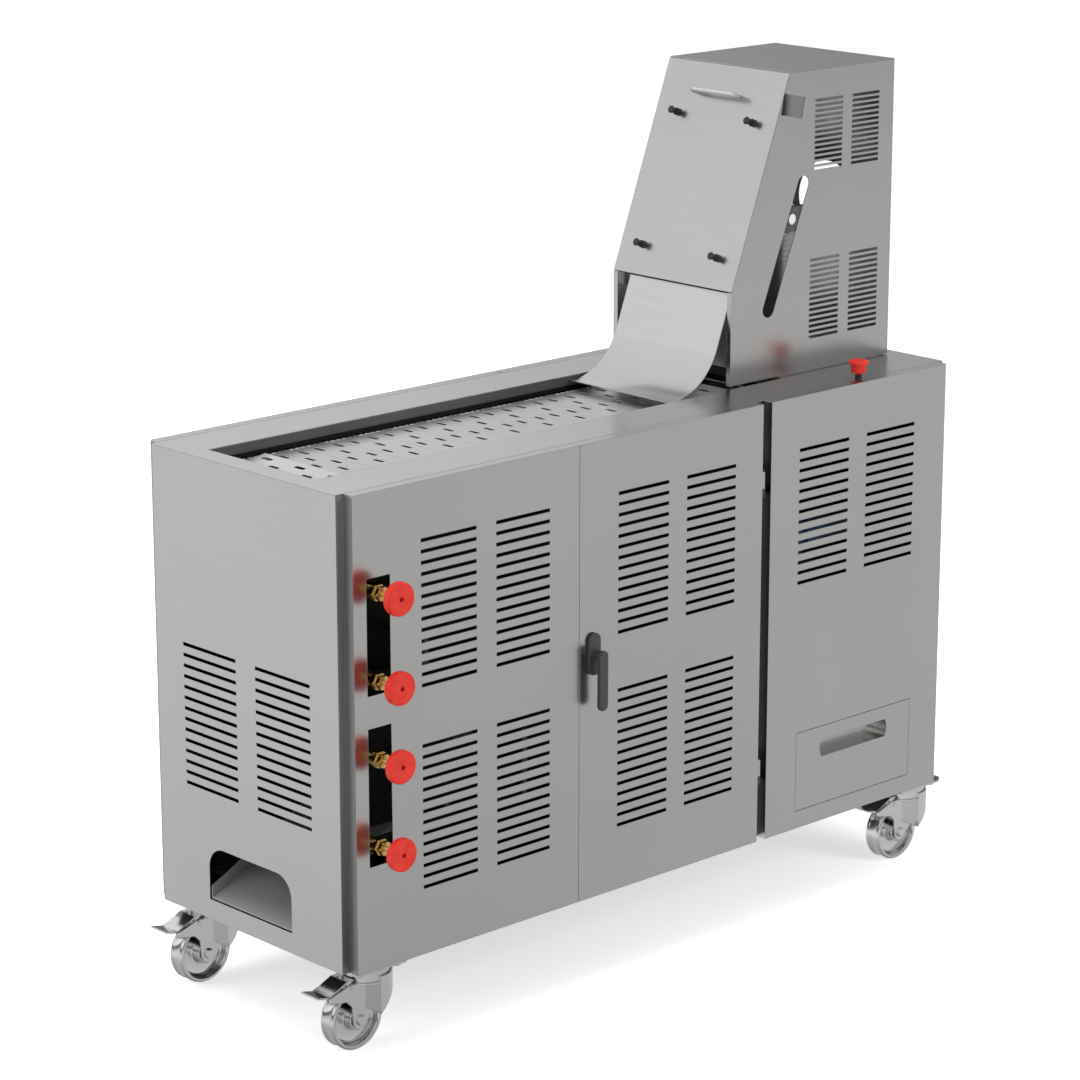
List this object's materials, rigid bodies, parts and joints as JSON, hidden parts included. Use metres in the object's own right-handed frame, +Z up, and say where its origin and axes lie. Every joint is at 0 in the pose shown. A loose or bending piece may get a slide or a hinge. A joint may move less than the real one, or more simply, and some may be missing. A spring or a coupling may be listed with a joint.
{
  "type": "conveyor_flatbread_cooker",
  "caption": "Floor-standing conveyor cooker for flatbreads: sheeting tower with chute, slotted slat conveyor in a louvred gas cabinet, outlet at the end, castors.",
  "frame": {"origin": "floor level, middle of the overall bounding box", "axes": "+X along the conveyor towards the tower, -Y the service side with door and valves, +Z up"},
  "size_m": [1.4786, 0.592, 1.4734],
  "materials": {
    "brushed_sheet": "brushed",
    "steel_frame": "satin",
    "steel_dark": "satin",
    "motor_paint": "satin",
    "cast_parts": "matte",
    "brass_parts": "satin",
    "red_plastic": "glossy",
    "black_plastic": "matte",
    "handle_metal": "matte",
    "bright_bar": "polished",
    "roller_polymer": "matte",
    "castor_steel": "satin"
  },
  "bodies": {
    "cabinet": {"base_frame": "steel_frame", "bottom_pan": "steel_frame", "top_deck": "brushed_sheet", "left_end_panel": "brushed_sheet", "right_end_panel": "brushed_sheet", "front_panel": "brushed_sheet", "door_hinges": "steel_frame", "tool_box_panel": "brushed_sheet", "back_covers": "brushed_sheet", "drawer_runners": "steel_frame", "oven_side_plates": "steel_frame", "conveyor_slats": "steel_frame", "roller_chains": "steel_dark", "flange_bearings": "cast_parts", "gear_motors": "motor_paint", "burner_tubes": "steel_dark", "gas_manifold": "brass_parts", "valve_bodies": "brass_parts", "outlet_tray": "brushed_sheet", "tower_side_panels": "brushed_sheet", "tower_top_sheet": "brushed_sheet", "tower_cross_bars": "steel_frame", "chute": "brushed_sheet", "e_stop_collar": "black_plastic", "castor_plates": "castor_steel"},
    "service_door": {"service_door": "brushed_sheet", "handle_backplate": "handle_metal"},
    "lever": {"handle_lever": "handle_metal"},
    "drawer": {"drawer": "brushed_sheet"},
    "drive_shaft_1": {"drive_shaft_1": "steel_dark"},
    "drive_shaft_2": {"drive_shaft_2": "steel_dark"},
    "drive_shaft_3": {"drive_shaft_3": "steel_dark"},
    "idler_shaft_1": {"idler_shaft_1": "steel_dark"},
    "idler_shaft_2": {"idler_shaft_2": "steel_dark"},
    "idler_shaft_3": {"idler_shaft_3": "steel_dark"},
    "valve_knob_1": {"valve_knob_1": "red_plastic"},
    "valve_knob_2": {"valve_knob_2": "red_plastic"},
    "valve_knob_3": {"valve_knob_3": "red_plastic"},
    "valve_knob_4": {"valve_knob_4": "red_plastic"},
    "tower_cover": {"tower_cover": "brushed_sheet", "cover_handle": "bright_bar"},
    "cover_knob_1": {"cover_knob_1": "black_plastic"},
    "cover_knob_2": {"cover_knob_2": "black_plastic"},
    "cover_knob_3": {"cover_knob_3": "black_plastic"},
    "cover_knob_4": {"cover_knob_4": "black_plastic"},
    "roller_front": {"sheeting_roller_front": "roller_polymer"},
    "roller_rear": {"sheeting_roller_rear": "roller_polymer"},
    "stop_button": {"e_stop_button": "red_plastic"},
    "castor_fork_1": {"castor_fork_1": "castor_steel"},
    "castor_fork_2": {"castor_fork_2": "castor_steel"},
    "castor_fork_3": {"castor_fork_3": "castor_steel"},
    "castor_fork_4": {"castor_fork_4": "castor_steel"},
    "castor_wheel_1": {"castor_wheel_1": "castor_steel"},
    "castor_wheel_2": {"castor_wheel_2": "castor_steel"},
    "castor_wheel_3": {"castor_wheel_3": "castor_steel"},
    "castor_wheel_4": {"castor_wheel_4": "castor_steel"},
    "brake_pedal_1": {"brake_pedal_1": "castor_steel"},
    "brake_pedal_2": {"brake_pedal_2": "castor_steel"},
    "brake_pedal_3": {"brake_pedal_3": "castor_steel"},
    "brake_pedal_4": {"brake_pedal_4": "castor_steel"}
  },
  "joints": [
    {"name": "door_hinge", "type": "hinge", "parent": "cabinet", "child": "service_door", "pos_m": [0.24075, -0.235, 0.527], "axis": [0, 0, 1], "range_deg": [0, 100]},
    {"name": "lever_turn", "type": "hinge", "parent": "service_door", "child": "lever", "pos_m": [-0.16725, -0.26, 0.577], "axis": [0, -1, 0], "range_deg": [0, 90]},
    {"name": "drawer_slide", "type": "slide", "parent": "cabinet", "child": "drawer", "axis": [0, -1, 0], "range_m": [0, 0.22]},
    {"name": "valve_turn_1", "type": "hinge", "parent": "cabinet", "child": "valve_knob_1", "pos_m": [-0.63205, -0.26, 0.773], "axis": [0, 1, 0], "range_deg": [0, 720]},
    {"name": "valve_turn_2", "type": "hinge", "parent": "cabinet", "child": "valve_knob_2", "pos_m": [-0.63205, -0.26, 0.628], "axis": [0, 1, 0], "range_deg": [0, 720]},
    {"name": "valve_turn_3", "type": "hinge", "parent": "cabinet", "child": "valve_knob_3", "pos_m": [-0.63205, -0.26, 0.499], "axis": [0, 1, 0], "range_deg": [0, 720]},
    {"name": "valve_turn_4", "type": "hinge", "parent": "cabinet", "child": "valve_knob_4", "pos_m": [-0.63205, -0.26, 0.353], "axis": [0, 1, 0], "range_deg": [0, 720]},
    {"name": "drive_turn_1", "type": "hinge", "parent": "cabinet", "child": "drive_shaft_1", "pos_m": [0.3343, 0.014, 0.8663], "axis": [0, 1, 0], "continuous": true},
    {"name": "idler_turn_1", "type": "hinge", "parent": "cabinet", "child": "idler_shaft_1", "pos_m": [-0.59095, 0.014, 0.8663], "axis": [0, 1, 0], "continuous": true},
    {"name": "drive_turn_2", "type": "hinge", "parent": "cabinet", "child": "drive_shaft_2", "pos_m": [0.3343, 0.014, 0.6663], "axis": [0, 1, 0], "continuous": true},
    {"name": "idler_turn_2", "type": "hinge", "parent": "cabinet", "child": "idler_shaft_2", "pos_m": [-0.59095, 0.014, 0.6663], "axis": [0, 1, 0], "continuous": true},
    {"name": "drive_turn_3", "type": "hinge", "parent": "cabinet", "child": "drive_shaft_3", "pos_m": [0.3343, 0.014, 0.4663], "axis": [0, 1, 0], "continuous": true},
    {"name": "idler_turn_3", "type": "hinge", "parent": "cabinet", "child": "idler_shaft_3", "pos_m": [-0.36535, 0.014, 0.4663], "axis": [0, 1, 0], "continuous": true},
    {"name": "roller_turn_front", "type": "hinge", "parent": "cabinet", "child": "roller_front", "pos_m": [0.37304, 0.03, 1.215], "axis": [0, 1, 0], "continuous": true},
    {"name": "roller_turn_rear", "type": "hinge", "parent": "cabinet", "child": "roller_rear", "pos_m": [0.43604, 0.03, 1.215], "axis": [0, 1, 0], "continuous": true},
    {"name": "cover_lift", "type": "slide", "parent": "cabinet", "child": "tower_cover", "axis": [-0.9368, 0, 0.3499], "range_m": [0, 0.12]},
    {"name": "cover_knob_turn_1", "type": "hinge", "parent": "tower_cover", "child": "cover_knob_1", "pos_m": [0.30111, -0.061, 1.15629], "axis": [-0.9368, 0, 0.3499], "range_deg": [0, 1080]},
    {"name": "cover_knob_turn_2", "type": "hinge", "parent": "tower_cover", "child": "cover_knob_2", "pos_m": [0.30111, 0.1226, 1.15629], "axis": [-0.9368, 0, 0.3499], "range_deg": [0, 1080]},
    {"name": "cover_knob_turn_3", "type": "hinge", "parent": "tower_cover", "child": "cover_knob_3", "pos_m": [0.38582, -0.061, 1.38309], "axis": [-0.9368, 0, 0.3499], "range_deg": [0, 1080]},
    {"name": "cover_knob_turn_4", "type": "hinge", "parent": "tower_cover", "child": "cover_knob_4", "pos_m": [0.38582, 0.1226, 1.38309], "axis": [-0.9368, 0, 0.3499], "range_deg": [0, 1080]},
    {"name": "stop_press", "type": "slide", "parent": "cabinet", "child": "stop_button", "axis": [0, 0, -1], "range_m": [0, 0.004], "stiffness_N_per_m": 1500},
    {"name": "castor_swivel_1", "type": "hinge", "parent": "cabinet", "child": "castor_fork_1", "pos_m": [-0.62125, -0.184, 0.125], "axis": [0, 0, 1], "continuous": true},
    {"name": "castor_roll_1", "type": "hinge", "parent": "castor_fork_1", "child": "castor_wheel_1", "pos_m": [-0.65225, -0.184, 0.0535], "axis": [0, 1, 0], "continuous": true},
    {"name": "brake_press_1", "type": "hinge", "parent": "castor_fork_1", "child": "brake_pedal_1", "pos_m": [-0.67125, -0.184, 0.1125], "axis": [0, -1, 0], "range_deg": [0, 10]},
    {"name": "castor_swivel_2", "type": "hinge", "parent": "cabinet", "child": "castor_fork_2", "pos_m": [0.68675, -0.184, 0.125], "axis": [0, 0, 1], "continuous": true},
    {"name": "castor_roll_2", "type": "hinge", "parent": "castor_fork_2", "child": "castor_wheel_2", "pos_m": [0.65575, -0.184, 0.0535], "axis": [0, 1, 0], "continuous": true},
    {"name": "brake_press_2", "type": "hinge", "parent": "castor_fork_2", "child": "brake_pedal_2", "pos_m": [0.63675, -0.184, 0.1125], "axis": [0, -1, 0], "range_deg": [0, 10]},
    {"name": "castor_swivel_3", "type": "hinge", "parent": "cabinet", "child": "castor_fork_3", "pos_m": [-0.62125, 0.212, 0.125], "axis": [0, 0, 1], "continuous": true},
    {"name": "castor_roll_3", "type": "hinge", "parent": "castor_fork_3", "child": "castor_wheel_3", "pos_m": [-0.65225, 0.212, 0.0535], "axis": [0, 1, 0], "continuous": true},
    {"name": "brake_press_3", "type": "hinge", "parent": "castor_fork_3", "child": "brake_pedal_3", "pos_m": [-0.67125, 0.212, 0.1125], "axis": [0, -1, 0], "range_deg": [0, 10]},
    {"name": "castor_swivel_4", "type": "hinge", "parent": "cabinet", "child": "castor_fork_4", "pos_m": [0.68675, 0.212, 0.125], "axis": [0, 0, 1], "continuous": true},
    {"name": "castor_roll_4", "type": "hinge", "parent": "castor_fork_4", "child": "castor_wheel_4", "pos_m": [0.65575, 0.212, 0.0535], "axis": [0, 1, 0], "continuous": true},
    {"name": "brake_press_4", "type": "hinge", "parent": "castor_fork_4", "child": "brake_pedal_4", "pos_m": [0.63675, 0.212, 0.1125], "axis": [0, -1, 0], "range_deg": [0, 10]}
  ],
  "couplings": [
    {"joint": "idler_turn_1", "follows": "drive_turn_1", "ratio": 1},
    {"joint": "idler_turn_2", "follows": "drive_turn_2", "ratio": 1},
    {"joint": "idler_turn_3", "follows": "drive_turn_1", "ratio": 1},
    {"joint": "drive_turn_3", "follows": "drive_turn_1", "ratio": 1},
    {"joint": "roller_turn_front", "follows": "roller_turn_rear", "ratio": -1}
  ]
}
